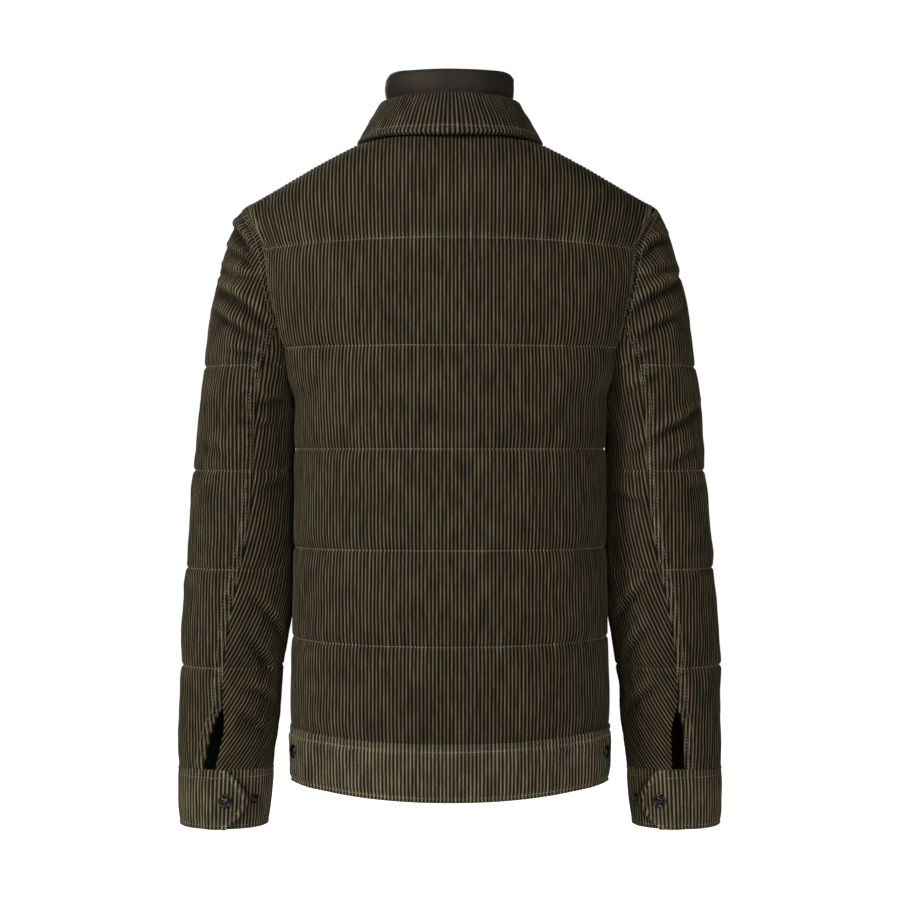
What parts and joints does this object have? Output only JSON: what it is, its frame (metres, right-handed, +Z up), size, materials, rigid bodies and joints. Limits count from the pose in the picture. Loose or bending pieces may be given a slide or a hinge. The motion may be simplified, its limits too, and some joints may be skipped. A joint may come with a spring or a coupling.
{
  "type": "corduroy jacket",
  "caption": "Quilted corduroy jacket in its worn shape, with a turned-down collar over a smooth stand collar, lapped cuffs and a waistband.",
  "frame": {"origin": "between the shoulders, in the middle of the neck opening and 6 mm below the neck side points, where a wearer's shoulders hold it", "axes": "+Z up along the back, +X to the wearer's left, -Y the way the wearer faces"},
  "size_m": [0.566, 0.2373, 0.772],
  "materials": {
    "corduroy": "wide-wale cotton corduroy, olive brown, soft nap with paler ridges and dark valleys",
    "satin": "smooth dark brown nylon with a soft sheen",
    "gunmetal": "dark gunmetal snap caps, a glossy dome in a worn ring",
    "lining": "black matt lining seen inside the openings",
    "thread": "olive topstitching thread"
  },
  "bodies": {
    "root": {"back": "corduroy", "front_left": "corduroy", "front_right": "corduroy", "placket": "corduroy", "sleeve_upper_left": "corduroy", "sleeve_under_left": "corduroy", "sleeve_upper_right": "corduroy", "sleeve_under_right": "corduroy", "cuff_left": "corduroy", "cuff_right": "corduroy", "waistband_back": "corduroy", "waistband_front_left": "corduroy", "waistband_front_right": "corduroy", "collar": "corduroy", "stand_collar": "satin", "snap_cuff_left": "gunmetal", "snap_cuff_spare_left": "gunmetal", "snap_cuff_right": "gunmetal", "snap_cuff_spare_right": "gunmetal", "snap_waist_left": "gunmetal", "snap_waist_right": "gunmetal", "snap_front_1": "gunmetal", "snap_front_2": "gunmetal", "snap_front_3": "gunmetal", "snap_front_4": "gunmetal", "snap_front_5": "gunmetal", "snap_front_6": "gunmetal", "snap_front_7": "gunmetal"}
  },
  "joints": []
}
